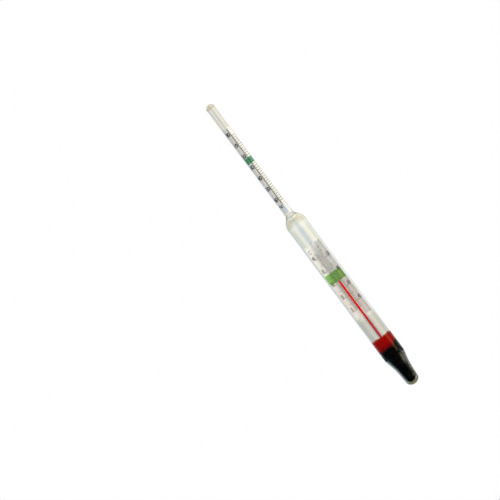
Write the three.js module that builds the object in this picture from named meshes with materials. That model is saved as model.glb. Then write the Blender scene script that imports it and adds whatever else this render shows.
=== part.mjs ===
// Floating glass hydrometer with a spirit thermometer sealed into its body.
// Millimetres, +Z up along the stem as it floats, scales facing -Y.
// The origin is on the axis at the water line it floats at in sea water.
import * as THREE from "three";

// ---- driving dimensions, as heights above the tip of the nose ----
const WATERLINE = 131.5; // middle of the stem's green band
const OVERALL = 165;
const STEM_R = 2.25;
const STEM_BORE_R = 1.98;
const STEM_TIP_WALL = 0.7;
const BODY_R = 5.4;
const BODY_BORE_R = 4.75;
const WELD = 100.6; // where the stem tube is fused to the body tube

const GRAVITY_PAPER = { r: 1.9, t: 0.12, from: 101.0, to: 151.1, open: 10 };
// the body's paper wraps further round on the left (-X) than on the right, in degrees from the back
const TEMP_PAPER = { r: 4.7, t: 0.14, from: 40.6, to: 82.6, left: 92, right: 75 };

const TUBE_R = 0.9; // thermometer capillary, outside
const TUBE_BORE_R = 0.35;
const TUBE_TOP = 83.4;
const TUBE_BORE_TOP = 81.8;
const BULB_TOP = 20.3; // where the capillary is fused to its bulb
const BULB_BOTTOM = 8.4;
const BULB_R = 1.4;
const BULB_BORE_R = 1.05;
const BULB_NECK = 1.6; // length over which the bulb draws in to the capillary
const SPIRIT_R = 0.32;
const SPIRIT_TOP = 60.7; // reads 21 degrees Celsius
const FLUID_GAP = 0.03;

const BALLAST_TOP = 20.6;
const SEAL_TOP = 26.4;
const SEAL_CLIMB = 1.1; // how far the resin climbs the glass
const FIT = 0.05; // play round the packed pieces

// Outside of the body tube, from the nose's round end to the weld: [height, radius]
const NOSE_END = { r: 3.25, h: 2.6 };
const BODY_OUTSIDE = [
  [2.6, 3.25],
  [5.4, 3.58],
  [8.75, 3.9],
  [11.0, 4.2],
  [12.6, 4.53],
  [14.2, 4.93],
  [15.5, 5.2],
  [16.6, 5.34],
  [17.9, BODY_R],
];
const SHOULDER_OUTSIDE = [
  [93.4, BODY_R],
  [94.4, 5.34],
  [95.3, 5.2],
  [96.3, 4.92],
  [97.25, 4.5],
  [98.1, 3.9],
  [98.8, 3.25],
  [99.35, 2.72],
  [99.9, 2.38],
  [WELD, STEM_R],
];
const NOSE_INSIDE_END = { r: 2.42, from: 1.25, h: 1.75 };
const NOSE_INSIDE = [
  [3.0, 2.42],
  [5.4, 2.8],
  [8.75, 3.14],
  [11.0, 3.44],
  [12.6, 3.78],
  [14.2, 4.18],
  [15.5, 4.48],
  [16.8, 4.67],
  [18.2, BODY_BORE_R],
];
const SHOULDER_INSIDE = [
  [92.9, BODY_BORE_R],
  [94.1, 4.68],
  [95.1, 4.49],
  [96.0, 4.19],
  [96.8, 3.79],
  [97.5, 3.3],
  [98.15, 2.75],
  [98.8, 2.36],
  [99.6, 2.08],
  [WELD, STEM_BORE_R],
];

// A smooth curve with no overshoot through [height, radius] points, sampled per span.
function smooth(points, per) {
  const n = points.length;
  const d = [];
  for (let i = 0; i < n - 1; i++)
    d.push(
      (points[i + 1][1] - points[i][1]) / (points[i + 1][0] - points[i][0]),
    );
  const m = [d[0]];
  for (let i = 1; i < n - 1; i++)
    m.push(
      d[i - 1] * d[i] <= 0 ? 0 : (2 * d[i - 1] * d[i]) / (d[i - 1] + d[i]),
    );
  m.push(d[n - 2]);
  const out = [];
  for (let i = 0; i < n - 1; i++) {
    const [x0, y0] = points[i];
    const h = points[i + 1][0] - x0;
    const y1 = points[i + 1][1];
    for (let k = 0; k < per; k++) {
      const t = k / per;
      out.push([
        x0 + h * t,
        (1 + 2 * t) * (1 - t) ** 2 * y0 +
          t * (1 - t) ** 2 * h * m[i] +
          t * t * (3 - 2 * t) * y1 +
          t * t * (t - 1) * h * m[i + 1],
      ]);
    }
  }
  out.push(points[n - 1]);
  return out;
}

// A quarter ellipse from the axis at height `at`, widening to r over a height h (h < 0 goes down).
function roundEnd(at, r, h, steps) {
  const out = [];
  for (let i = 0; i <= steps; i++) {
    const a = (i / steps) * (Math.PI / 2);
    out.push([at + h * (1 - Math.cos(a)), r * Math.sin(a)]);
  }
  out[0][1] = 0;
  return out;
}

// Turns a [height, radius] profile round the axis. The profile goes up the outside and down the inside.
function turned(profile, segments) {
  const points = profile.map(([s, r]) => new THREE.Vector2(r, s - WATERLINE));
  const g = new THREE.LatheGeometry(points, segments);
  g.rotateX(Math.PI / 2);
  return g;
}

const closed = (profile) => [...profile, profile[0]];

function mesh(name, geometry, material) {
  const m = new THREE.Mesh(
    geometry,
    new THREE.MeshStandardMaterial({ name, ...material }),
  );
  m.name = name;
  return m;
}

// ---- outer glass ----
const CLEAR = { color: 0xe6ece6, roughness: 0.05, metalness: 0 };

function stemTube() {
  const outside = [
    [WELD, STEM_R],
    [OVERALL - STEM_R, STEM_R],
    ...roundEnd(OVERALL, STEM_R, -STEM_R, 8)
      .reverse()
      .slice(1),
  ];
  const inside = [
    ...roundEnd(OVERALL - STEM_TIP_WALL, STEM_BORE_R, -STEM_BORE_R, 7),
    [WELD, STEM_BORE_R],
  ];
  return [...inside, ...outside];
}

function bodyTube() {
  const inside = [
    ...roundEnd(
      NOSE_INSIDE_END.from,
      NOSE_INSIDE_END.r,
      NOSE_INSIDE_END.h,
      6,
    ).slice(0, -1),
    ...smooth(NOSE_INSIDE, 1),
    ...smooth(SHOULDER_INSIDE, 1),
  ];
  const outside = [
    ...roundEnd(0, NOSE_END.r, NOSE_END.h, 8).slice(0, -1),
    ...smooth(BODY_OUTSIDE, 2),
    ...smooth(SHOULDER_OUTSIDE, 2),
  ];
  return [...outside, ...inside.reverse()];
}

// ---- printed papers: thin arcs drawn out along the axis ----
function arcSheet(r, t, from, to, start, end, steps) {
  const shape = new THREE.Shape();
  for (let i = 0; i <= steps; i++) {
    const a = start + ((end - start) * i) / steps;
    shape[i ? "lineTo" : "moveTo"](r * Math.cos(a), r * Math.sin(a));
  }
  for (let i = steps; i >= 0; i--) {
    const a = start + ((end - start) * i) / steps;
    shape.lineTo((r - t) * Math.cos(a), (r - t) * Math.sin(a));
  }
  shape.closePath();
  const g = new THREE.ExtrudeGeometry(shape, {
    depth: to - from,
    bevelEnabled: false,
    steps: 1,
  });
  g.translate(0, 0, from - WATERLINE);
  return g;
}
const rad = (deg) => (deg * Math.PI) / 180;

// ---- black shot packed into the nose, with a rough skin and a hole for the bulb ----
function ballast() {
  const segments = 40;
  const rough = (i, j) =>
    0.5 +
    0.5 * Math.sin(2.3 * i + 1.7 * Math.sin(1.9 * j + i)) * Math.cos(2.9 * j);
  const skin = [
    ...roundEnd(
      NOSE_INSIDE_END.from + FIT,
      NOSE_INSIDE_END.r - FIT,
      NOSE_INSIDE_END.h,
      5,
    ).slice(0, -1),
    ...smooth(NOSE_INSIDE, 2).map(([s, r]) => [s, r - FIT]),
    [19.4, BODY_BORE_R - FIT],
    [BALLAST_TOP - FIT, BODY_BORE_R - FIT],
  ];
  const hole = [
    [BALLAST_TOP - FIT, 3.3],
    [BALLAST_TOP - FIT, BULB_R + FIT],
    [BULB_BOTTOM + BULB_R, BULB_R + FIT],
    ...roundEnd(BULB_BOTTOM - FIT, BULB_R + FIT, BULB_R + FIT, 5)
      .reverse()
      .slice(1),
  ];
  const g = turned([...skin, ...hole], segments);
  // the skin and the top sink in here and there between the grains
  const p = g.getAttribute("position");
  const floor = BALLAST_TOP - FIT - WATERLINE;
  for (let k = 0; k < p.count; k++) {
    const x = p.getX(k);
    const y = p.getY(k);
    const z = p.getZ(k);
    const r = Math.hypot(x, y);
    const i = Math.round((Math.atan2(y, x) / (2 * Math.PI)) * segments + 400) % segments;
    const j = Math.round((z + WATERLINE) * 1.7);
    if (r > BULB_R + 3 * FIT && z < floor - 0.4) {
      const s = 1 - (0.22 * rough(i, j)) / r;
      p.setXYZ(k, x * s, y * s, z);
    } else if (r > BULB_R + 3 * FIT && z >= floor - 0.01)
      p.setXYZ(k, x, y, z - 0.35 * rough(i, Math.round(r)));
  }
  g.computeVertexNormals();
  return g;
}

// ---- red resin that locks the shot in, climbing the glass it wets ----
function seal() {
  const inner = TUBE_R + FIT;
  const outer = BODY_BORE_R - FIT;
  const top = [];
  for (let i = 0; i <= 8; i++) {
    const t = i / 8;
    const r = inner + (outer - inner) * t;
    const climb = Math.exp(-(outer - r) / 0.45) + 0.7 * Math.exp(-(r - inner) / 0.4);
    top.push([SEAL_TOP + SEAL_CLIMB * climb, r]);
  }
  return closed([
    [BALLAST_TOP, outer],
    ...top.reverse(),
    [BALLAST_TOP, inner],
  ]);
}

// ---- thermometer: capillary, bulb and red spirit ----
function capillary() {
  return [
    [TUBE_BORE_TOP, 0],
    [TUBE_BORE_TOP - 0.15, TUBE_BORE_R * 0.8],
    [TUBE_BORE_TOP - 0.4, TUBE_BORE_R],
    [BULB_TOP, TUBE_BORE_R],
    [BULB_TOP, TUBE_R],
    [TUBE_TOP - 0.8, TUBE_R],
    ...roundEnd(TUBE_TOP, TUBE_R, -0.8, 6)
      .reverse()
      .slice(1),
  ];
}

function bulb() {
  const wall = BULB_R - BULB_BORE_R;
  return [
    ...roundEnd(BULB_BOTTOM, BULB_R, BULB_R, 7),
    [BULB_TOP - BULB_NECK, BULB_R],
    [BULB_TOP - BULB_NECK / 2, (BULB_R + TUBE_R) / 2],
    [BULB_TOP, TUBE_R],
    [BULB_TOP, TUBE_BORE_R + 0.1],
    [BULB_TOP - BULB_NECK, BULB_BORE_R],
    ...roundEnd(BULB_BOTTOM + wall, BULB_BORE_R, BULB_BORE_R, 6).reverse(),
  ];
}

function reservoir() {
  const r = BULB_BORE_R - FLUID_GAP;
  const bottom = BULB_BOTTOM + BULB_R - BULB_BORE_R + FLUID_GAP;
  return [
    ...roundEnd(bottom, r, r, 6),
    [BULB_TOP - BULB_NECK - FLUID_GAP, r],
    [BULB_TOP - FLUID_GAP, SPIRIT_R],
    [BULB_TOP - FLUID_GAP, 0],
  ];
}

function column() {
  return [
    [BULB_TOP + FLUID_GAP, 0],
    [BULB_TOP + FLUID_GAP, SPIRIT_R],
    [SPIRIT_TOP - 0.12, SPIRIT_R],
    [SPIRIT_TOP, SPIRIT_R * 0.55],
    [SPIRIT_TOP, 0],
  ];
}

const group = new THREE.Group();
group.name = "hydrometer";
const PAPER = { color: 0xf2efdc, roughness: 0.8, metalness: 0 };
const RED = { color: 0xd81a08, roughness: 0.25, metalness: 0 };

group.add(
  mesh("stem_tube", turned(stemTube(), 48), CLEAR),
  mesh("body_tube", turned(bodyTube(), 64), CLEAR),
  mesh(
    "gravity_scale",
    arcSheet(
      GRAVITY_PAPER.r,
      GRAVITY_PAPER.t,
      GRAVITY_PAPER.from,
      GRAVITY_PAPER.to,
      rad(90 + GRAVITY_PAPER.open / 2),
      rad(450 - GRAVITY_PAPER.open / 2),
      44,
    ),
    PAPER,
  ),
  mesh(
    "thermometer_scale",
    arcSheet(
      TEMP_PAPER.r,
      TEMP_PAPER.t,
      TEMP_PAPER.from,
      TEMP_PAPER.to,
      rad(90 - TEMP_PAPER.right),
      rad(90 + TEMP_PAPER.left),
      40,
    ),
    PAPER,
  ),
  mesh("thermometer_tube", turned(capillary(), 32), CLEAR),
  mesh("thermometer_bulb", turned(bulb(), 32), CLEAR),
  mesh("spirit_reservoir", turned(reservoir(), 24), RED),
  mesh("spirit_column", turned(column(), 24), RED),
  mesh("resin_seal", turned(seal(), 48), {
    color: 0x8f0500,
    roughness: 0.2,
    metalness: 0,
  }),
  mesh("ballast_shot", ballast(), {
    color: 0x0b0b0d,
    roughness: 0.75,
    metalness: 0,
  }),
);

export default group;
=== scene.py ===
import math
import random

import bmesh
import bpy
import numpy as np
from mathutils import Matrix, Vector


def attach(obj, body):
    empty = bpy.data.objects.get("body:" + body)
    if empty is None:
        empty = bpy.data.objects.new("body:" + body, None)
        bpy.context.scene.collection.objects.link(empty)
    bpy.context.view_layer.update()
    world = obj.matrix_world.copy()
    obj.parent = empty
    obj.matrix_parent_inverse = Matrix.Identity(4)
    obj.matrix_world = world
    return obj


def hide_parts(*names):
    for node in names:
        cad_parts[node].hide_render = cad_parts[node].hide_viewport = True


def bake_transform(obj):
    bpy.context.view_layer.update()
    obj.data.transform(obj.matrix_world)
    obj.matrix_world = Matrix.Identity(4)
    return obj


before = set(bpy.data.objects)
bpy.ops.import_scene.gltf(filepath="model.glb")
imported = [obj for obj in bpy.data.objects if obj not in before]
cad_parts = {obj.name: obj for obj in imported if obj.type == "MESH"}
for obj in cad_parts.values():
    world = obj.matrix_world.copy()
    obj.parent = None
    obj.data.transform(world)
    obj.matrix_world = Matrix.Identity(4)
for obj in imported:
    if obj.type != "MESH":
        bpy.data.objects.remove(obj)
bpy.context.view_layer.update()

MM = 0.001
WATERLINE = 131.5  # height of the origin above the nose, mm

# ---------------------------------------------------------------- dimensions, mm, as heights above the nose
OVERALL, STEM_R, STEM_BORE = 165.0, 2.25, 1.98
BODY_R, BODY_BORE, WELD = 5.4, 4.75, 100.6
GRAVITY = dict(r=1.9, t=0.12, lo=101.0, hi=151.1)
TEMPER = dict(r=4.7, t=0.14, lo=40.6, hi=82.6, left=92.0, right=75.0)
TUBE_R, TUBE_BORE, TUBE_TOP, TUBE_BORE_TOP = 0.9, 0.35, 83.4, 81.8
BULB_TOP, BULB_BOTTOM, BULB_R, BULB_BORE, BULB_NECK = 20.3, 8.4, 1.4, 1.05, 1.6
SPIRIT_TOP = 60.7
BALLAST_TOP, SEAL_TOP = 20.6, 26.4

NOSE_OUT = [(2.6, 3.25), (5.4, 3.58), (8.75, 3.9), (11.0, 4.2), (12.6, 4.53), (14.2, 4.93), (15.5, 5.2), (16.6, 5.34), (17.9, BODY_R)]
SHOULDER_OUT = [(93.4, BODY_R), (94.4, 5.34), (95.3, 5.2), (96.3, 4.92), (97.25, 4.5), (98.1, 3.9), (98.8, 3.25), (99.35, 2.72), (99.9, 2.38), (WELD, STEM_R)]
NOSE_IN_R, NOSE_IN_LOW, NOSE_IN_H = 2.42, 1.25, 1.75
NOSE_IN = [(3.0, 2.42), (5.4, 2.8), (8.75, 3.14), (11.0, 3.44), (12.6, 3.78), (14.2, 4.18), (15.5, 4.48), (16.8, 4.67), (18.2, BODY_BORE)]
SHOULDER_IN = [(92.9, BODY_BORE), (94.1, 4.68), (95.1, 4.49), (96.0, 4.19), (96.8, 3.79), (97.5, 3.3), (98.15, 2.75), (98.8, 2.36), (99.6, 2.08), (WELD, STEM_BORE)]


def smooth(points, per):
    """A smooth curve with no overshoot through (height, radius) points."""
    d = [(b[1] - a[1]) / (b[0] - a[0]) for a, b in zip(points, points[1:])]
    m = [d[0]] + [0.0 if p * q <= 0 else 2 * p * q / (p + q) for p, q in zip(d, d[1:])] + [d[-1]]
    out = []
    for i, ((x0, y0), (x1, y1)) in enumerate(zip(points, points[1:])):
        h = x1 - x0
        for k in range(per):
            t = k / per
            out.append((x0 + h * t, (1 + 2 * t) * (1 - t) ** 2 * y0 + t * (1 - t) ** 2 * h * m[i] + t * t * (3 - 2 * t) * y1 + t * t * (t - 1) * h * m[i + 1]))
    return out + [points[-1]]


def round_end(at, r, h, steps):
    """A quarter ellipse from the axis at height `at`, widening to r over a height h."""
    out = [(at + h * (1 - math.cos(a)), r * math.sin(a)) for a in [i / steps * math.pi / 2 for i in range(steps + 1)]]
    out[0] = (out[0][0], 0.0)
    return out


def along(points, s):
    """The radius of a (height, radius) curve at a height."""
    xs, ys = [p[0] for p in points], [p[1] for p in points]
    return float(np.interp(s, xs, ys))


# ---------------------------------------------------------------- mesh helpers
def finish_mesh(name, bm, material, body="float", smooth_shade=True, angle=None):
    me = bpy.data.meshes.new(name)
    bm.to_mesh(me)
    bm.free()
    for p in me.polygons:
        p.use_smooth = smooth_shade
    ob = bpy.data.objects.new(name, me)
    bpy.context.scene.collection.objects.link(ob)
    for m in material if isinstance(material, (list, tuple)) else [material]:
        me.materials.append(m)
    if angle is not None:
        sharp = math.radians(angle)
        bm2 = bmesh.new()
        bm2.from_mesh(me)
        for e in bm2.edges:
            e.smooth = len(e.link_faces) == 2 and e.calc_face_angle(0.0) < sharp
        bm2.to_mesh(me)
        bm2.free()
    if body:
        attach(ob, body)
    return ob


def ring(bm, s, r, seg, x0=0.0, y0=0.0, dr=None):
    z = (s - WATERLINE) * MM
    if r <= 1e-9:
        return [bm.verts.new((x0 * MM, y0 * MM, z))]
    out = []
    for k in range(seg):
        a = 2 * math.pi * k / seg
        q = r + (dr(s, a) if dr else 0.0)
        out.append(bm.verts.new(((x0 + q * math.cos(a)) * MM, (y0 + q * math.sin(a)) * MM, z)))
    return out


def add_lathe(bm, profile, seg, x0=0.0, y0=0.0, dr=None, loop=False, mat=0):
    """Turns a (height, radius) profile, which goes up the outside and down the inside."""
    rings = [ring(bm, s, r, seg, x0, y0, dr) for s, r in profile]
    pairs = list(zip(rings, rings[1:])) + ([(rings[-1], rings[0])] if loop else [])
    for a, b in pairs:
        for k in range(seg):
            n = (k + 1) % seg
            if len(a) == 1 and len(b) == 1:
                continue
            if len(a) == 1:
                f = bm.faces.new((a[0], b[n], b[k]))
            elif len(b) == 1:
                f = bm.faces.new((a[k], a[n], b[0]))
            else:
                f = bm.faces.new((a[k], a[n], b[n], b[k]))
            f.material_index = mat
    return rings


def add_arc_sheet(bm, radius, thick, lo, hi, a0, a1, na, nz, mat=0, wobble=None):
    """A curved sheet of paper: its outside at radius(angle), thick mm thick, closed all round."""
    def point(i, j, inner):
        a = a0 + (a1 - a0) * i / na
        s = lo + (hi - lo) * j / nz
        r = radius(a, i / na) - (thick if inner else 0.0)
        if wobble:
            r += wobble(a, s)
        return bm.verts.new((r * math.cos(a) * MM, r * math.sin(a) * MM, (s - WATERLINE) * MM))
    out = [[point(i, j, False) for j in range(nz + 1)] for i in range(na + 1)]
    inn = [[point(i, j, True) for j in range(nz + 1)] for i in range(na + 1)]
    fs = []
    for i in range(na):
        for j in range(nz):
            fs.append(bm.faces.new((out[i][j], out[i + 1][j], out[i + 1][j + 1], out[i][j + 1])))
            fs.append(bm.faces.new((inn[i][j], inn[i][j + 1], inn[i + 1][j + 1], inn[i + 1][j])))
        fs.append(bm.faces.new((out[i][0], inn[i][0], inn[i + 1][0], out[i + 1][0])))
        fs.append(bm.faces.new((out[i][nz], out[i + 1][nz], inn[i + 1][nz], inn[i][nz])))
    for j in range(nz):
        fs.append(bm.faces.new((out[0][j], out[0][j + 1], inn[0][j + 1], inn[0][j])))
        fs.append(bm.faces.new((out[na][j], inn[na][j], inn[na][j + 1], out[na][j + 1])))
    for f in fs:
        f.material_index = mat


# Flat patches of ink, and the painted blue highlight, (u across, v up, w off the paper) are laid on a paper by one of
# these.
def on_stem(u, v, w):
    r = GRAVITY["r"] + w
    a = u / GRAVITY["r"]
    return (r * math.sin(a) * MM, -r * math.cos(a) * MM, (v - WATERLINE) * MM)


TEMPER_IN = TEMPER["r"] - TEMPER["t"]


def on_body(u, v, w):
    r = TEMPER_IN - w
    a = u / TEMPER_IN
    return (r * math.sin(a) * MM, r * math.cos(a) * MM, (v - WATERLINE) * MM)


def add_bar(bm, lay, u0, u1, v0, v1, w0, w1, step=0.25, mat=0):
    """A thin bar of ink, closed, bent with the paper; one bar is the painted blue highlight."""
    n = max(1, int(math.ceil(abs(u1 - u0) / step)))
    cols = []
    for i in range(n + 1):
        u = u0 + (u1 - u0) * i / n
        cols.append([bm.verts.new(lay(u, v, w)) for v, w in ((v0, w0), (v0, w1), (v1, w1), (v1, w0))])
    fs = [bm.faces.new((a[k], b[k], b[(k + 1) % 4], a[(k + 1) % 4])) for a, b in zip(cols, cols[1:]) for k in range(4)]
    fs += [bm.faces.new(cols[0]), bm.faces.new(list(reversed(cols[-1])))]
    for f in fs:
        f.material_index = mat


def add_text(bm, lay, text, size, u, v, w0, w1, align="LEFT", squeeze=1.0, step=0.22, weight=0.0):
    """Figures as thin closed solids on a paper. u, v is the foot of the text, size its height in mm."""
    cu = bpy.data.curves.new("figure", "FONT")
    cu.body = text
    cu.size = 1.0
    cu.extrude = 0.5
    cu.resolution_u = 3
    cu.offset = weight
    ob = bpy.data.objects.new("figure", cu)
    bpy.context.scene.collection.objects.link(ob)
    bpy.context.view_layer.update()
    dg = bpy.context.evaluated_depsgraph_get()
    me = bpy.data.meshes.new_from_object(ob.evaluated_get(dg))
    bpy.data.objects.remove(ob)
    bpy.data.curves.remove(cu)
    t = bmesh.new()
    t.from_mesh(me)
    bpy.data.meshes.remove(me)
    bmesh.ops.remove_doubles(t, verts=t.verts, dist=1e-5)
    xs = [q.co.x for q in t.verts]
    ys = [q.co.y for q in t.verts]
    k = size / 0.70  # the built-in font's figures are about 0.7 of its size tall
    width = (max(xs) - min(xs)) * k * squeeze
    shift = {"LEFT": 0.0, "RIGHT": -width, "CENTER": -width / 2}[align]
    for q in t.verts:
        q.co = Vector(((q.co.x - min(xs)) * k * squeeze + shift + u, q.co.y * k + v, w1 if q.co.z > 0 else w0))
    lo, hi = min(q.co.x for q in t.verts), max(q.co.x for q in t.verts)
    c = math.floor(lo / step) * step + step
    while c < hi:
        bmesh.ops.bisect_plane(t, geom=t.verts[:] + t.edges[:] + t.faces[:], plane_co=(c, 0, 0), plane_no=(1, 0, 0), dist=1e-6)
        c += step
    for q in t.verts:
        q.co = Vector(lay(*q.co))
    made = {q: bm.verts.new(q.co) for q in t.verts}
    for f in t.faces:
        bm.faces.new([made[q] for q in f.verts])
    t.free()
    return width


# ---------------------------------------------------------------- materials
def material(name, color, rough, metallic=0.0, **sockets):
    m = bpy.data.materials.new(name)
    m.use_nodes = True
    p = m.node_tree.nodes["Principled BSDF"]
    p.inputs["Base Color"].default_value = (*color, 1)
    p.inputs["Roughness"].default_value = rough
    p.inputs["Metallic"].default_value = metallic
    for k, v in sockets.items():
        p.inputs[k.replace("_", " ")].default_value = v
    return m, m.node_tree, p


def node(nt, kind, **props):
    n = nt.nodes.new(kind)
    for k, v in props.items():
        setattr(n, k, v)
    return n


def noise(nt, scale, detail=3.0, rough=0.55, stretch=(1, 1, 1)):
    tc = node(nt, "ShaderNodeTexCoord")
    mp = node(nt, "ShaderNodeMapping")
    mp.inputs["Scale"].default_value = stretch
    nz = node(nt, "ShaderNodeTexNoise")
    nz.inputs["Scale"].default_value = scale
    nz.inputs["Detail"].default_value = detail
    nz.inputs["Roughness"].default_value = rough
    nt.links.new(tc.outputs["Object"], mp.inputs["Vector"])
    nt.links.new(mp.outputs["Vector"], nz.inputs["Vector"])
    return nz.outputs["Fac"]


def ramp(nt, fac, stops):
    r = node(nt, "ShaderNodeValToRGB")
    r.color_ramp.elements[0].position, r.color_ramp.elements[0].color = stops[0][0], (*stops[0][1], 1)
    r.color_ramp.elements[1].position, r.color_ramp.elements[1].color = stops[-1][0], (*stops[-1][1], 1)
    for at, c in stops[1:-1]:
        e = r.color_ramp.elements.new(at)
        e.color = (*c, 1)
    nt.links.new(fac, r.inputs["Fac"])
    return r.outputs["Color"]


def bump(nt, p, height, strength, distance):
    b = node(nt, "ShaderNodeBump")
    b.inputs["Strength"].default_value = strength
    b.inputs["Distance"].default_value = distance
    nt.links.new(height, b.inputs["Height"])
    nt.links.new(b.outputs["Normal"], p.inputs["Normal"])


def height_ramp(nt, stops):
    """A colour for each height above the nose in mm."""
    tc = node(nt, "ShaderNodeTexCoord")
    sp = node(nt, "ShaderNodeSeparateXYZ")
    mr = node(nt, "ShaderNodeMapRange")
    nt.links.new(tc.outputs["Object"], sp.inputs[0])
    nt.links.new(sp.outputs["Z"], mr.inputs["Value"])
    lo, hi = stops[0][0], stops[-1][0]
    mr.inputs["From Min"].default_value = (lo - WATERLINE) * MM
    mr.inputs["From Max"].default_value = (hi - WATERLINE) * MM
    return ramp(nt, mr.outputs["Result"], [((h - lo) / (hi - lo), c) for h, c in stops])


def make_glass(name, color, tint=None, bloom=None):
    m, nt, p = material(name, color, 0.0, IOR=1.5)
    p.inputs["Transmission Weight"].default_value = 1.0
    if bloom:
        nt.links.new(height_ramp(nt, bloom), p.inputs["Transmission Weight"])
    if tint:
        nt.links.new(height_ramp(nt, tint), p.inputs["Base Color"])
    # drawn glass is very slightly uneven along its length
    bump(nt, p, noise(nt, 90.0, 1.0, stretch=(1, 1, 0.08)), 0.02, 0.00001)
    return m


CLEAR, SMOKY, TIP = (0.975, 0.985, 0.978), (0.84, 0.84, 0.835), (0.955, 0.945, 0.92)
NOSE_PAINTED_SHADE = (0.19, 0.195, 0.155)  # painted shade: the glass is tinted darkest at the thick fused bottom of the nose, fading to clear by 12.5 mm
# the weld of the stem is slightly milky
BLOOM = [(0, (1, 1, 1)), (99.2, (1, 1, 1)), (99.6, (0.8, 0.8, 0.8)), (100.3, (0.8, 0.8, 0.8)), (100.7, (1, 1, 1)), (165, (1, 1, 1))]
# the glass is tinted grey from the resin up to the paper's foot
GLASS = make_glass("clear_drawn_glass", CLEAR, [(0, NOSE_PAINTED_SHADE), (1.3, NOSE_PAINTED_SHADE), (2.2, (0.4, 0.42, 0.37)), (3.4, (0.62, 0.65, 0.61)), (6.0, (0.82, 0.84, 0.82)), (10.0, (0.92, 0.93, 0.92)), (12.5, CLEAR), (19, CLEAR), (23, SMOKY), (38, SMOKY), (41.5, CLEAR), (150.5, CLEAR), (151.6, TIP), (165, TIP)], BLOOM)
TUBE_GLASS = make_glass("capillary_glass", (0.975, 0.985, 0.99))


def make_paper(name, dim, pale):
    m, nt, p = material(name, pale, 0.85, Specular_IOR_Level=0.15)
    fine = noise(nt, 5200.0, 3.0, 0.6, (1, 1, 0.5))
    tone = noise(nt, 120.0, 1.0)
    a = ramp(nt, fine, [(0.3, dim), (0.7, pale)])
    b = ramp(nt, tone, [(0.25, (0.97, 0.965, 0.95)), (0.75, (1.0, 1.0, 1.0))])
    mix = node(nt, "ShaderNodeMix", data_type="RGBA", blend_type="MULTIPLY")
    mix.inputs["Factor"].default_value = 1.0
    nt.links.new(a, mix.inputs["A"])
    nt.links.new(b, mix.inputs["B"])
    nt.links.new(mix.outputs["Result"], p.inputs["Base Color"])
    bump(nt, p, fine, 0.1, 0.000004)
    return m


def make_ink(name, color, patchy=0.35):
    m, nt, p = material(name, color, 0.7, Specular_IOR_Level=0.15)
    f = noise(nt, 4200.0, 3.0, 0.6)
    light = tuple(c + (0.75 - c) * patchy * 0.5 for c in color)
    nt.links.new(ramp(nt, f, [(0.35, color), (0.75, light)]), p.inputs["Base Color"])
    return m


PAPER = make_paper("scale_paper", (0.885, 0.865, 0.79), (0.92, 0.905, 0.84))
WARM_PAPER = make_paper("thermometer_paper", (0.87, 0.85, 0.81), (0.91, 0.89, 0.85))
INK = make_ink("black_ink", (0.012, 0.011, 0.02), 0.08)
BROWN_INK = make_ink("faded_ink", (0.07, 0.055, 0.063), 0.1)
BLUE_INK = make_ink("blue_black_ink", (0.035, 0.03, 0.1), 0.08)
# the pale blue below is not print: it is a painted highlight, a streak of pale blue light
PAINTED_BLUE_HIGHLIGHT = make_ink("pale_blue_painted_highlight", (0.5, 0.67, 0.93), 0.05)
GREEN = make_ink("green_ink", (0.1, 0.36, 0.18), 0.06)
LIGHT_GREEN = make_ink("light_green_ink", (0.26, 0.52, 0.12), 0.08)


def make_spirit():
    m, nt, p = material("red_spirit", (0.9, 0.03, 0.008), 0.3, Specular_IOR_Level=0.05)
    f = noise(nt, 900.0, 2.0, 0.5, (1, 1, 0.15))
    nt.links.new(ramp(nt, f, [(0.3, (0.8, 0.012, 0.002)), (0.7, (0.9, 0.026, 0.006))]), p.inputs["Base Color"])
    return m


def make_resin():
    m, nt, p = material("red_resin", (0.4, 0.0, 0.0), 0.3, Specular_IOR_Level=0.05)
    deep = height_ramp(
        nt,
        [
            (20.0, (0.03, 0.0, 0.0)),
            (21.0, (0.1, 0.0, 0.0)),
            (22.0, (0.25, 0.0, 0.0)),
            (23.5, (0.43, 0.0, 0.0)),
            (26.6, (0.46, 0.002, 0.0)),
            (27.2, (0.55, 0.05, 0.03)),
            (27.8, (0.68, 0.3, 0.22)),
        ],
    )
    f = noise(nt, 500.0, 3.0, 0.6, (1, 1, 0.4))
    mix = node(nt, "ShaderNodeMix", data_type="RGBA", blend_type="MULTIPLY")
    mix.inputs["Factor"].default_value = 1.0
    nt.links.new(deep, mix.inputs["A"])
    nt.links.new(ramp(nt, f, [(0.3, (0.94, 0.94, 0.94)), (0.7, (1.0, 1.0, 1.0))]), mix.inputs["B"])
    # the resin's colour darkens towards +X, to 0.6 of it at the far side
    tc = node(nt, "ShaderNodeTexCoord")
    sp = node(nt, "ShaderNodeSeparateXYZ")
    mr = node(nt, "ShaderNodeMapRange")
    nt.links.new(tc.outputs["Object"], sp.inputs[0])
    nt.links.new(sp.outputs["X"], mr.inputs["Value"])
    mr.inputs["From Min"].default_value = -BODY_BORE * MM
    mr.inputs["From Max"].default_value = BODY_BORE * MM
    side = node(nt, "ShaderNodeMix", data_type="RGBA", blend_type="MULTIPLY")
    side.inputs["Factor"].default_value = 1.0
    nt.links.new(mix.outputs["Result"], side.inputs["A"])
    nt.links.new(ramp(nt, mr.outputs["Result"], [(0.0, (1.0, 1.0, 1.0)), (0.4, (0.9, 0.9, 0.9)), (1.0, (0.6, 0.6, 0.6))]), side.inputs["B"])
    nt.links.new(side.outputs["Result"], p.inputs["Base Color"])
    return m


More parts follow.
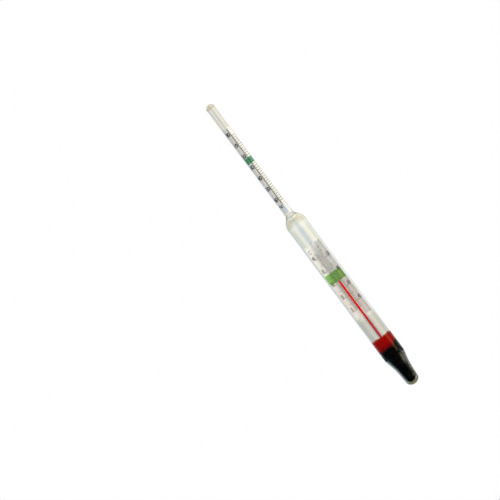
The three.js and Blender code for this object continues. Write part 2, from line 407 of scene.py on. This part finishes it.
def make_grit():
    m, nt, p = material("black_grit_and_painted_glints", (0.003, 0.003, 0.004), 0.45, Specular_IOR_Level=0.12)
    geo = node(nt, "ShaderNodeNewGeometry")
    r = geo.outputs["Random Per Island"]
    # most grains vary at random in tone; the lightest few are painted glints, a lighter colour standing in for sparkle
    nt.links.new(
        ramp(nt, r, [(0.0, (0.0015, 0.0015, 0.002)), (0.86, (0.003, 0.003, 0.004)), (0.94, (0.012, 0.012, 0.014)), (0.975, (0.03, 0.05, 0.055)), (1.0, (0.2, 0.22, 0.17))]),
        p.inputs["Base Color"],
    )
    k = node(nt, "ShaderNodeMapRange")
    k.inputs["To Min"].default_value = 0.55
    k.inputs["To Max"].default_value = 0.18
    nt.links.new(r, k.inputs["Value"])
    nt.links.new(k.outputs["Result"], p.inputs["Roughness"])
    return m


def make_binder():
    m, nt, p = material("black_binder", (0.002, 0.002, 0.002), 0.6, Specular_IOR_Level=0.05)
    f = noise(nt, 1500.0, 3.0)
    nt.links.new(ramp(nt, f, [(0.35, (0.001, 0.001, 0.001)), (0.8, (0.004, 0.003, 0.003))]), p.inputs["Base Color"])
    bump(nt, p, f, 0.4, 0.0001)
    return m


SPIRIT, RESIN, GRIT, BINDER = make_spirit(), make_resin(), make_grit(), make_binder()

# ---------------------------------------------------------------- outer glass: one fused, blown envelope
bm = bmesh.new()
outer = round_end(0, 3.25, 2.6, 22)[:-1] + smooth(NOSE_OUT, 6)
outer += [(18.1, BODY_R)] + [(17.9 + (93.4 - 17.9) * k / 24, BODY_R) for k in range(1, 24)]
outer += smooth(SHOULDER_OUT, 6)
outer += [(WELD + (OVERALL - STEM_R - WELD) * k / 20, STEM_R) for k in range(1, 20)]
outer += list(reversed(round_end(OVERALL, STEM_R, -STEM_R, 18)))
inner = round_end(OVERALL - 0.7, STEM_BORE, -STEM_BORE, 14)
inner += [(OVERALL - 0.7 - STEM_BORE + (WELD - (OVERALL - 0.7 - STEM_BORE)) * k / 20, STEM_BORE) for k in range(1, 20)]
inner += list(reversed(smooth(SHOULDER_IN, 6)))
inner += [(92.9 + (18.2 - 92.9) * k / 24, BODY_BORE) for k in range(1, 24)] + [(18.4, BODY_BORE)]
inner += list(reversed(smooth(NOSE_IN, 6)))
inner += list(reversed(round_end(NOSE_IN_LOW, NOSE_IN_R, NOSE_IN_H, 14)[:-1]))
add_lathe(bm, outer, 128)
add_lathe(bm, inner, 128)
envelope = finish_mesh("glass_envelope", bm, GLASS)
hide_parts("stem_tube", "body_tube")
envelope.visible_diffuse = False  # light and shadow pass straight through the clear glass
envelope.visible_shadow = False

# ---------------------------------------------------------------- stem paper, rolled with an overlap at the back
bm = bmesh.new()
add_arc_sheet(
    bm,
    lambda a, f: GRAVITY["r"] - 0.15 * (1 - f) ** 1 * 0 - (0.14 * max(0.0, 1 - f * 12)),
    GRAVITY["t"],
    GRAVITY["lo"],
    GRAVITY["hi"],
    math.radians(80),
    math.radians(80 + 372),
    96,
    10,
)
stem_paper = finish_mesh("gravity_paper", bm, PAPER, angle=40)
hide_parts("gravity_scale")

SG_ZERO, SG_STEP = 146.55, 0.64  # height of the 1.000 mark, and mm for each 0.001


def sg_height(n):
    return SG_ZERO - SG_STEP * n


bm = bmesh.new()
add_bar(bm, on_stem, -3.9, 3.9, sg_height(25) , sg_height(20), 0.004, 0.012)
band = finish_mesh("gravity_green_band", bm, GREEN, angle=40)

bm = bmesh.new()
add_bar(bm, on_stem, 0.02, 0.27, 106.0, 150.7, 0.006, 0.022, step=1)
stem_line = finish_mesh("gravity_line", bm, BLUE_INK, smooth_shade=False)
# painted highlight: a pale blue streak below the foot of the blue line, made as a bar on the paper
bm = bmesh.new()
add_bar(bm, on_stem, -0.12, 0.46, 101.6, 106.0, 0.006, 0.02, step=0.1)
stem_painted_highlight = finish_mesh("gravity_painted_blue_highlight", bm, PAINTED_BLUE_HIGHLIGHT, smooth_shade=False)

bm = bmesh.new()
for n in range(-6, 64):
    reach = 0.42 if not 0 <= n <= 60 else 2.9 if n % 10 == 0 else 2.5 if n % 2 == 0 else 0.45
    add_bar(bm, on_stem, -0.05, reach, sg_height(n) - 0.095, sg_height(n) + 0.095, 0.01, 0.024)
for n in range(0, 61, 10):
    add_text(bm, on_stem, f"1.{n:03d}", 2.1, -0.14, sg_height(n) + 0.25, 0.01, 0.026, "RIGHT", squeeze=0.72, weight=0.03)
add_text(bm, on_stem, "20°C", 1.3, -0.2, 104.6, 0.01, 0.024, "RIGHT", squeeze=0.85, weight=0.06)
stem_ink = finish_mesh("gravity_figures", bm, INK, smooth_shade=False)

# ---------------------------------------------------------------- thermometer paper
bm = bmesh.new()
LEFT, RIGHT = math.radians(TEMPER["left"]), math.radians(TEMPER["right"])
add_arc_sheet(
    bm,
    lambda a, f: TEMPER["r"],
    TEMPER["t"],
    TEMPER["lo"],
    TEMPER["hi"],
    math.pi / 2 - RIGHT,
    math.pi / 2 + LEFT,
    72,
    12,
)
body_paper = finish_mesh("thermometer_paper", bm, WARM_PAPER, angle=40)
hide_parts("thermometer_scale")

C0, C_STEP = 44.88, 0.758  # height of 0 degrees Celsius, and mm for each degree


def c_height(c):
    return C0 + C_STEP * c


def f_height(f):
    return C0 + C_STEP * (f - 32) / 1.8


def arc_u(x):
    """The distance along the curved paper of a mark seen x mm from the middle."""
    return TEMPER_IN * math.asin(max(-1.0, min(1.0, x / TEMPER_IN)))


bm = bmesh.new()
add_bar(bm, on_body, -TEMPER_IN * (LEFT - 0.01), TEMPER_IN * (RIGHT - 0.01), c_height(21), c_height(28), 0.004, 0.012, step=0.2)
band2 = finish_mesh("thermometer_green_band", bm, LIGHT_GREEN, angle=40)

bm = bmesh.new()
for c in range(0, 44):
    reach = 4.05 if c % 10 == 0 else 2.9 if c % 5 == 0 else 2.2
    t = 0.11 if c % 5 == 0 else 0.09
    add_bar(bm, on_body, arc_u(-reach), arc_u(-1.1), c_height(c) - t, c_height(c) + t, 0.01, 0.024)
for f in range(32, 112, 2):
    reach = 3.9 if f % 20 == 0 else 2.4 if f % 10 == 0 else 1.65
    t = 0.11 if f % 10 == 0 else 0.09
    add_bar(bm, on_body, arc_u(0.8), arc_u(reach), f_height(f) - t, f_height(f) + t, 0.01, 0.024)
add_bar(bm, on_body, arc_u(-1.12), arc_u(-1.02), c_height(0), c_height(43), 0.012, 0.022, step=1)
add_bar(bm, on_body, arc_u(0.72), arc_u(0.82), c_height(0), c_height(43), 0.012, 0.022, step=1)
for c in range(0, 41, 10):
    add_text(bm, on_body, str(c), 1.9, arc_u(-3.0), c_height(c) + 0.25, 0.01, 0.026, "RIGHT", squeeze=0.9, weight=0.015)
for f in range(40, 101, 20):
    add_text(bm, on_body, str(f), 1.9, arc_u(2.7), f_height(f) + 0.25, 0.01, 0.026, "LEFT", squeeze=0.9, weight=0.015)
add_text(bm, on_body, "C", 2.0, arc_u(-2.9), 78.6, 0.01, 0.026, "RIGHT", weight=0.0)
add_text(bm, on_body, "F", 1.75, arc_u(1.45), 78.7, 0.01, 0.026, "LEFT", weight=-0.015)
body_ink = finish_mesh("thermometer_figures", bm, BROWN_INK, smooth_shade=False)

# ---------------------------------------------------------------- thermometer glass: capillary drawn out of its bulb
bm = bmesh.new()
out = round_end(BULB_BOTTOM, BULB_R, BULB_R, 12)[:-1]
out += [(BULB_BOTTOM + BULB_R, BULB_R)]
out += smooth([(BULB_TOP - BULB_NECK, BULB_R), (BULB_TOP - BULB_NECK / 2, (BULB_R + TUBE_R) / 2), (BULB_TOP, TUBE_R)], 6)
out += [(BULB_TOP + (TUBE_TOP - 0.8 - BULB_TOP) * k / 20, TUBE_R) for k in range(1, 21)]
out += list(reversed(round_end(TUBE_TOP, TUBE_R, -0.8, 10)))[1:]
inn = round_end(TUBE_BORE_TOP, TUBE_BORE, -0.4, 8)
inn += [(TUBE_BORE_TOP - 0.4 + (BULB_TOP + 0.0 - TUBE_BORE_TOP + 0.4) * k / 20, TUBE_BORE) for k in range(1, 21)]
inn += list(reversed(smooth([(BULB_TOP - BULB_NECK, BULB_BORE), (BULB_TOP - BULB_NECK / 2, 0.75), (BULB_TOP - 0.02, TUBE_BORE + 0.02)], 5)))
inn += list(reversed(round_end(BULB_BOTTOM + BULB_R - BULB_BORE, BULB_BORE, BULB_BORE, 10)))
add_lathe(bm, out, 48)
add_lathe(bm, inn, 48)
tube = finish_mesh("thermometer_glass", bm, TUBE_GLASS)
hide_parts("thermometer_tube", "thermometer_bulb")
tube.visible_diffuse = False
tube.visible_shadow = False

WET = 0.006  # a liquid wets the glass, so its surface lies just inside the glass
bm = bmesh.new()
low = BULB_BOTTOM + BULB_R - BULB_BORE - WET
add_lathe(
    bm,
    round_end(low, BULB_BORE + WET, BULB_BORE + WET, 10)
    + smooth([(BULB_TOP - BULB_NECK, BULB_BORE + WET), (BULB_TOP - BULB_NECK / 2, 0.756), (BULB_TOP - 0.02, TUBE_BORE + 0.02)], 4)
    + [(BULB_TOP, 0.0)],
    40,
)
pool = finish_mesh("spirit_pool", bm, SPIRIT)
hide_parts("spirit_reservoir")

bm = bmesh.new()
rows = 90
r = TUBE_BORE + WET
prof = [(BULB_TOP - 0.01, 0.0), (BULB_TOP, r * 0.9)]
prof += [(BULB_TOP + 0.05 + (SPIRIT_TOP - 0.25 - BULB_TOP - 0.05) * k / rows, r) for k in range(rows + 1)]
# a concave meniscus
prof += [(SPIRIT_TOP - 0.1, r), (SPIRIT_TOP, r - 0.004), (SPIRIT_TOP - 0.02, r * 0.93), (SPIRIT_TOP - 0.13, r * 0.72), (SPIRIT_TOP - 0.2, r * 0.4), (SPIRIT_TOP - 0.22, 0.0)]
add_lathe(bm, prof, 32)
column = finish_mesh("spirit_thread", bm, SPIRIT, body=None)
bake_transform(column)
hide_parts("spirit_column")

# ---------------------------------------------------------------- red resin with its meniscus
bm = bmesh.new()
rin, rout = TUBE_R - 0.006, BODY_BORE + 0.004


def lip(s, a):
    return 0.0


top = []
for k in range(21):
    t = k / 20
    rr = rin + (rout - rin) * t
    climb = math.exp(-(rout - rr) / 0.42) + 0.7 * math.exp(-(rr - rin) / 0.35)
    top.append((SEAL_TOP + 1.1 * climb, rr))
profile = [(BALLAST_TOP - 0.1, rout)] + [(BALLAST_TOP + 0.5 * k, rout) for k in range(1, 12)] + list(reversed(top)) + [(BALLAST_TOP - 0.1, rin)]
rings = add_lathe(bm, profile, 96, loop=True)
for v in bm.verts:  # the top edge climbs unevenly
    a = math.atan2(v.co.y, v.co.x)
    s = v.co.z / MM + WATERLINE
    if s > SEAL_TOP - 0.5:
        v.co.z += (0.22 * math.sin(2 * a + 0.7) + 0.12 * math.sin(5 * a) + 0.05 * math.sin(11 * a + 1)) * MM * min(1.0, (s - SEAL_TOP + 0.5))
seal = finish_mesh("resin_plug", bm, RESIN, angle=60)
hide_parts("resin_seal")

# ---------------------------------------------------------------- ballast: a dark packed core, and loose grains against the glass
INSIDE = round_end(NOSE_IN_LOW, NOSE_IN_R, NOSE_IN_H, 14)[:-1] + smooth(NOSE_IN, 6) + [(40.0, BODY_BORE)]
rng = random.Random(11)


def bore_at(s):
    return along([(a, b) for a, b in INSIDE], s)


WET_FROM = 14.6  # above this the resin has run down between the grains and wets the glass


def ease(t):
    t = min(1.0, max(0.0, t))
    return t * t * (3 - 2 * t)


def core_r(s):
    soaked = min(1.0, max(0.0, (s - WET_FROM) / 1.8)) ** 1.5
    return bore_at(s) - 0.16 * (1 - soaked) + 0.01 * soaked


bm = bmesh.new()
steps = [NOSE_IN_LOW + h for h in (0.015, 0.05, 0.1, 0.17, 0.26, 0.37, 0.5, 0.65, 0.8, 1.0, 1.25)] + [2.8 + 0.3 * k for k in range(59)]
prof = [(NOSE_IN_LOW + 0.12, 0.0)] + [(s, core_r(s)) for s in steps if core_r(s) > 0.3]
prof += [(BALLAST_TOP + 0.1, core_r(20.5)), (BALLAST_TOP + 0.15, 3.0), (BALLAST_TOP + 0.15, BULB_R + 0.02), (10.0, BULB_R + 0.02), (BULB_BOTTOM - 0.02, 0.0)]
add_lathe(bm, prof, 96)
for v in bm.verts:
    a = math.atan2(v.co.y, v.co.x)
    s = v.co.z / MM + WATERLINE
    r = math.hypot(v.co.x, v.co.y) / MM
    if r > 3.6 and s > 19.0:
        front = (math.degrees(a) + 90.0 + 180.0) % 360.0 - 180.0
        heap = 2.1 * ease((front - 30.0) / 26.0) * ease((150.0 - front) / 60.0)  # the shot lies higher on one side
        v.co.z += (0.3 * math.sin(3 * a + 1.1) + 0.22 * math.sin(7 * a + 0.4) + 0.13 * math.sin(13 * a) + heap) * MM * (s - 19.0) / 1.7
core = finish_mesh("ballast_core", bm, BINDER, angle=60)
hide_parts("ballast_shot")


def grains(name, count, place, sizes, mat, seed):
    """Many irregular grains as one mesh."""
    r = random.Random(seed)
    base = bmesh.new()
    bmesh.ops.create_icosphere(base, subdivisions=1, radius=1.0)
    bv = [v.co.copy() for v in base.verts]
    base.verts.index_update()
    bf = [[v.index for v in f.verts] for f in base.faces]
    base.free()
    verts, faces = [], []
    for _ in range(count):
        c, n = place(r)
        if c is None:
            continue
        size = r.uniform(*sizes) / 2
        rot = Matrix.Rotation(r.uniform(0, 6.28), 3, Vector((r.gauss(0, 1), r.gauss(0, 1), r.gauss(0, 1))).normalized())
        sc = Vector((r.uniform(0.75, 1.2), r.uniform(0.75, 1.2), r.uniform(0.75, 1.2)))
        at = len(verts)
        for v in bv:
            j = 1 + r.uniform(-0.16, 0.16)
            q = rot @ Vector((v.x * sc.x, v.y * sc.y, v.z * sc.z)) * (size * j)
            verts.append(((c[0] + q.x) * MM, (c[1] + q.y) * MM, (c[2] + q.z - WATERLINE) * MM))
        faces += [[at + i for i in f] for f in bf]
    me = bpy.data.meshes.new(name)
    me.from_pydata(verts, [], faces)
    me.update()
    me.materials.append(mat)
    ob = bpy.data.objects.new(name, me)
    bpy.context.scene.collection.objects.link(ob)
    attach(ob, "float")
    return ob


def against_glass(r):
    while True:
        s = r.uniform(1.5, 20.4)
        if r.uniform(0, 4.9) < bore_at(s):
            break
    a = r.uniform(0, 2 * math.pi)
    size = 0.27
    q = bore_at(s) - size - r.uniform(0.0, 0.06)
    if s < 3.0:
        q = (NOSE_IN_R - size) * r.uniform(0.0, 1.0) ** 0.5
        s = NOSE_IN_LOW + 0.29 + NOSE_IN_H * (1 - math.sqrt(max(0.0, 1 - (q / NOSE_IN_R) ** 2)))
    if q < 0.05:
        q = 0.05
    return (q * math.cos(a), q * math.sin(a), s), None


shot = grains("ballast_grains", 2600, against_glass, (0.34, 0.52), GRIT, 5)

# ---------------------------------------------------------------- a speck of dirt on the shoulder
bm = bmesh.new()
bmesh.ops.create_icosphere(bm, subdivisions=2, radius=1.0)
sr, sh, sa = 3.44, 98.6, math.radians(-27)
for v in bm.verts:
    w = 1 + 0.25 * math.sin(5 * v.co.x + 3 * v.co.z) * math.cos(4 * v.co.y)
    v.co = Vector(
        (
            (sr * math.cos(sa) + v.co.x * 0.26 * w) * MM,
            (sr * math.sin(sa) + v.co.y * 0.16 * w) * MM,
            (sh - WATERLINE + v.co.z * 0.16 * w) * MM,
        )
    )
speck = finish_mesh("glass_speck", bm, BINDER)

# ---------------------------------------------------------------- floor, light and camera
zf = (0 - WATERLINE) * MM - 0.0015


def add_floor(name, r0, r1, mat, start=0.0, stop=360.0):
    """A flat ring, or part of one, between two compass directions in degrees: 0 is +X and 90 is +Y."""
    bm = bmesh.new()
    whole = stop - start >= 360.0
    seg = max(4, int(96 * (stop - start) / 360))
    turns = [math.radians(start + (stop - start) * k / seg) for k in range(seg if whole else seg + 1)]
    rows = [[bm.verts.new((r * math.cos(t), r * math.sin(t), zf)) for t in turns] for r in ([r0] if r0 > 0 else []) + [r1]]
    if r0 > 0:
        for k in range(seg):
            n = (k + 1) % len(turns)
            bm.faces.new((rows[0][k], rows[1][k], rows[1][n], rows[0][n]))
    else:
        bm.faces.new(rows[0])
    ob = finish_mesh(name, bm, mat, body=None)
    ob.visible_glossy = False
    return ob


fm, fnt, fp = material("pale_floor", (0.86, 0.86, 0.85), 0.8, Specular_IOR_Level=0.1)
add_floor("floor", 0.08, 3.5, fm, 150.0, 390.0)
# kept out of the nose's glass, which shows the dark room instead
for part in (add_floor("floor_under", 0.0, 0.08, fm), add_floor("floor_behind", 0.08, 3.5, fm, 30.0, 150.0)):
    part.visible_transmission = False

scene = bpy.context.scene
scene.view_settings.view_transform = "Standard"
world = bpy.data.worlds.new("studio")
scene.world = world
world.use_nodes = True
wn = world.node_tree
wn.nodes.clear()
lp = node(wn, "ShaderNodeLightPath")
tc = node(wn, "ShaderNodeTexCoord")
sep = node(wn, "ShaderNodeSeparateXYZ")
wn.links.new(tc.outputs["Generated"], sep.inputs[0])


def wmath(op, a, b=None, c=None):
    n = node(wn, "ShaderNodeMath", operation=op)
    for i, v in enumerate((a, b, c)):
        if v is None:
            continue
        if isinstance(v, (int, float)):
            n.inputs[i].default_value = v
        else:
            wn.links.new(v, n.inputs[i])
    return n.outputs[0]


# compass direction: 0 is the front (-Y), 0.25 the right (+X), 0.5 the back, 0.75 the left
turn = wmath("FRACT", wmath("DIVIDE", wmath("ARCTAN2", sep.outputs["X"], wmath("MULTIPLY", sep.outputs["Y"], -1.0)), 2 * math.pi))


def deg(d):
    return d / 360.0


def blend_by(fac, a, b):
    n = node(wn, "ShaderNodeMix", data_type="RGBA")
    wn.links.new(fac, n.inputs["Factor"])
    wn.links.new(a, n.inputs["A"])
    wn.links.new(b, n.inputs["B"])
    return n.outputs["Result"]


def circle(stops):
    """A colour for each compass direction in degrees, from 0 to 360, on two ramps because one is too short."""
    degrees = [d for d, c in stops]
    middle = tuple(float(np.interp(180.0, degrees, [c[k] for d, c in stops])) for k in range(3))

    def half(lo, picked):
        mr = node(wn, "ShaderNodeMapRange")
        mr.inputs["From Min"].default_value = deg(lo)
        mr.inputs["From Max"].default_value = deg(lo + 180)
        wn.links.new(turn, mr.inputs["Value"])
        return ramp(wn, mr.outputs["Result"], [((d - lo) / 180.0, c) for d, c in picked])

    first_half = half(0, [q for q in stops if q[0] < 180] + [(180, middle)])
    second_half = half(180, [(180, middle)] + [q for q in stops if q[0] > 180])
    return blend_by(wmath("GREATER_THAN", turn, 0.5), first_half, second_half)


# what the glass shows level with it: a dark front, a window to the right and a pale wall behind
level = circle(
    [
        (0, (0.01, 0.01, 0.01)),
        (43, (0.01, 0.01, 0.01)),
        (50, (0.55, 0.42, 0.16)),
        (57, (1.4, 1.0, 0.38)),
        (66, (0.95, 0.66, 0.26)),
        (78, (0.3, 0.2, 0.08)),
        (95, (0.07, 0.07, 0.07)),
        (113, (0.26, 0.33, 0.36)),
        (132, (0.58, 0.62, 0.62)),
        (147, (0.85, 0.88, 0.85)),
        (157, (1.0, 1.03, 0.97)),
        (166, (1.04, 1.05, 0.96)),
        (171.7, (0.96, 0.94, 0.78)),
        (174.4, (1.02, 0.97, 0.8)),
        (176, (1.04, 1.0, 0.84)),
        (177.8, (1.06, 1.05, 0.9)),
        (178.5, (1.02, 1.02, 0.92)),
        (179.05, (0.8, 0.83, 0.83)),
        (179.4, (0.735, 0.78, 0.81)),
        (180.6, (0.735, 0.78, 0.81)),
        (180.95, (0.82, 0.85, 0.84)),
        (181.5, (0.96, 0.98, 0.9)),
        (183, (0.92, 0.93, 0.83)),
        (184, (0.87, 0.87, 0.77)),
        (188.3, (0.8, 0.8, 0.71)),
        (194, (0.8, 0.8, 0.72)),
        (200, (0.74, 0.79, 0.77)),
        (212, (0.66, 0.74, 0.76)),
        (228, (0.4, 0.48, 0.53)),
        (246, (0.17, 0.3, 0.4)),
        (262, (0.03, 0.045, 0.06)),
        (290, (0.01, 0.01, 0.01)),
        (360, (0.01, 0.01, 0.01)),
    ]
)
# above it: soft daylight, brighter on the right
above = circle(
    [
        (0, (0.2, 0.2, 0.19)),
        (40, (0.4, 0.38, 0.34)),
        (60, (0.9, 0.85, 0.72)),
        (90, (0.9, 0.86, 0.72)),
        (120, (0.85, 0.82, 0.68)),
        (150, (0.85, 0.8, 0.64)),
        (168, (0.82, 0.75, 0.58)),
        (175, (0.76, 0.7, 0.53)),
        (180, (0.68, 0.66, 0.53)),
        (185, (0.62, 0.59, 0.45)),
        (195, (0.62, 0.6, 0.47)),
        (215, (0.62, 0.63, 0.54)),
        (270, (0.5, 0.52, 0.55)),
        (330, (0.24, 0.245, 0.25)),
        (360, (0.2, 0.2, 0.19)),
    ]
)
# below it: the dark room under the table's edge
just_below = circle(
    [
        (0, (0.002, 0.002, 0.002)),
        (44, (0.003, 0.003, 0.003)),
        (60, (0.06, 0.055, 0.045)),
        (70, (0.18, 0.17, 0.12)),
        (80, (0.42, 0.4, 0.28)),
        (92, (0.6, 0.56, 0.4)),
        (102, (0.4, 0.39, 0.3)),
        (115, (0.16, 0.17, 0.15)),
        (135, (0.12, 0.13, 0.125)),
        (154, (0.19, 0.21, 0.21)),
        (163, (0.3, 0.31, 0.3)),
        (170, (0.55, 0.53, 0.42)),
        (190, (0.55, 0.53, 0.42)),
        (197, (0.32, 0.37, 0.38)),
        (206, (0.3, 0.4, 0.44)),
        (226, (0.16, 0.22, 0.23)),
        (240, (0.15, 0.2, 0.24)),
        (258, (0.12, 0.18, 0.22)),
        (268, (0.09, 0.13, 0.18)),
        (280, (0.03, 0.05, 0.08)),
        (290, (0.008, 0.015, 0.03)),
        (305, (0.003, 0.004, 0.006)),
        (360, (0.002, 0.002, 0.002)),
    ]
)
far_below = circle(
    [
        (0, (0.002, 0.002, 0.002)),
        (42, (0.004, 0.004, 0.004)),
        (52, (0.2, 0.19, 0.15)),
        (60, (1.15, 1.05, 0.7)),
        (70, (1.35, 1.25, 0.8)),
        (80, (1.25, 1.15, 0.75)),
        (92, (0.85, 0.83, 0.7)),
        (108, (0.9, 0.92, 0.86)),
        (120, (1.05, 1.07, 1.0)),
        (145, (1.1, 1.1, 1.0)),
        (165, (1.0, 0.97, 0.84)),
        (195, (0.94, 0.91, 0.79)),
        (215, (0.8, 0.84, 0.82)),
        (240, (0.55, 0.6, 0.62)),
        (255, (0.25, 0.3, 0.33)),
        (266, (0.03, 0.035, 0.04)),
        (280, (0.004, 0.004, 0.004)),
        (360, (0.002, 0.002, 0.002)),
    ]
)
lit = circle(
    [
        (0, (0.43, 0.44, 0.46)),
        (90, (0.48, 0.48, 0.48)),
        (180, (0.43, 0.44, 0.46)),
        (270, (0.4, 0.43, 0.5)),
        (330, (0.42, 0.44, 0.49)),
        (360, (0.43, 0.44, 0.46)),
    ]
)


def step_down(value, full, none):
    """1 at `full`, falling to 0 at `none`."""
    n = node(wn, "ShaderNodeMapRange")
    n.inputs["From Min"].default_value = full
    n.inputs["From Max"].default_value = none
    n.inputs["To Min"].default_value = 1.0
    n.inputs["To Max"].default_value = 0.0
    wn.links.new(value, n.inputs["Value"])
    return n.outputs["Result"]


tilt = sep.outputs["Z"]
down = wmath("MULTIPLY", tilt, -1.0)
sharp = step_down(wmath("ABSOLUTE", tilt), 0.02, 0.035)
straight_back = step_down(wmath("ABSOLUTE", wmath("SUBTRACT", turn, 0.5)), deg(12), deg(18))
wide = step_down(down, 0.056, 0.075)
narrow = step_down(down, 0.015, 0.035)
fade = wmath("ADD", wmath("MULTIPLY", straight_back, wide), wmath("MULTIPLY", wmath("SUBTRACT", 1.0, straight_back), narrow))
soft = wmath("MINIMUM", step_down(tilt, 0.03, 0.11), fade)
behind = node(wn, "ShaderNodeMapRange", interpolation_type="SMOOTHSTEP")  # 1 behind the float, 0 in front
behind.inputs["From Min"].default_value = 0.3
behind.inputs["From Max"].default_value = 0.7
wn.links.new(sep.outputs["Y"], behind.inputs["Value"])
softness = behind.outputs["Result"]
level_mask = wmath("ADD", wmath("MULTIPLY", softness, soft), wmath("MULTIPLY", wmath("SUBTRACT", 1.0, softness), sharp))
# straight down it is dark and greenish
depth = ramp(wn, wmath("MAXIMUM", down, 0.0), [(0.0, (1.0, 1.0, 1.0)), (0.55, (1.0, 1.0, 1.0)), (0.75, (0.6, 0.61, 0.5)), (1.0, (0.4, 0.41, 0.33))])
under = node(wn, "ShaderNodeMix", data_type="RGBA", blend_type="MULTIPLY")
under.inputs["Factor"].default_value = 1.0
wn.links.new(blend_by(step_down(down, 0.32, 0.22), just_below, far_below), under.inputs["A"])
wn.links.new(depth, under.inputs["B"])
seen = blend_by(step_down(tilt, -0.035, -0.02), above, under.outputs["Result"])
seen = blend_by(level_mask, seen, level)
# the ceiling is brightest
zenith = node(wn, "ShaderNodeMapRange", interpolation_type="SMOOTHSTEP")
zenith.inputs["From Min"].default_value = 0.5
zenith.inputs["From Max"].default_value = 0.95
zenith.inputs["To Max"].default_value = 0.7
wn.links.new(tilt, zenith.inputs["Value"])
bright = node(wn, "ShaderNodeMix", data_type="RGBA", blend_type="ADD")
bright.inputs["Factor"].default_value = 1.0
wn.links.new(lit, bright.inputs["A"])
wn.links.new(zenith.outputs["Result"], bright.inputs["B"])
lit = bright.outputs["Result"]
first = node(wn, "ShaderNodeMix", data_type="RGBA")
wn.links.new(wmath("MINIMUM", lp.outputs["Diffuse Depth"], 1.0), first.inputs["Factor"])
wn.links.new(seen, first.inputs["A"])
wn.links.new(lit, first.inputs["B"])
second = node(wn, "ShaderNodeMix", data_type="RGBA")
wn.links.new(lp.outputs["Is Camera Ray"], second.inputs["Factor"])
wn.links.new(first.outputs["Result"], second.inputs["A"])
second.inputs["B"].default_value = (1, 1, 1, 1)
bg = node(wn, "ShaderNodeBackground")
wn.links.new(second.outputs["Result"], bg.inputs["Color"])
wo = node(wn, "ShaderNodeOutputWorld")
wn.links.new(bg.outputs[0], wo.inputs["Surface"])


def area(name, at, target, size, power, color):
    d = bpy.data.lights.new(name, "AREA")
    d.shape, d.size, d.energy, d.color = "DISK", size, power, color
    o = bpy.data.objects.new(name, d)
    scene.collection.objects.link(o)
    o.location = at
    o.rotation_euler = (Vector(target) - Vector(at)).to_track_quat("-Z", "Y").to_euler()
    return o


az, el, far = math.radians(65), math.radians(25), 0.75
key = area("key", (far * math.cos(el) * math.sin(az), -far * math.cos(el) * math.cos(az), far * math.sin(el) - 0.05), (0, 0, -0.05), 0.45, 3.1, (1.0, 0.96, 0.84))
key.visible_glossy = False
key.visible_transmission = False
key.visible_camera = False
world.cycles.sampling_method = "NONE"
scene.cycles.denoising_input_passes = "RGB_ALBEDO"

# The photograph shows the float leaning: its axis is 36.68 degrees from upright, stem to the upper left.
PX = 165.0 / 347.0 * MM  # metres a pixel
LEAN = math.radians(36.68)
cam_data = bpy.data.cameras.new("camera")
cam_data.type = "ORTHO"
cam_data.ortho_scale = 500 * PX
cam = bpy.data.objects.new("camera", cam_data)
scene.collection.objects.link(cam)
scene.camera = cam
# image axes in the row frame: the float's +Z points up and to the left on the image
up = Vector((math.sin(LEAN), 0, math.cos(LEAN)))
right = Vector((math.cos(LEAN), 0, -math.sin(LEAN)))
back = right.cross(up)
# the middle of the float's axis is at this pixel
MID = (311.25 + 0.5, 243.6 + 0.5)
mid_z = (OVERALL / 2 - WATERLINE) * MM
centre = Vector((0, 0, mid_z)) - right * ((MID[0] - 250) * PX) + up * ((MID[1] - 250) * PX)
cam.matrix_world = Matrix.Translation(centre + back * 0.6) @ Matrix((right, up, back)).transposed().to_4x4()
cam_data.clip_start, cam_data.clip_end = 0.01, 10.0
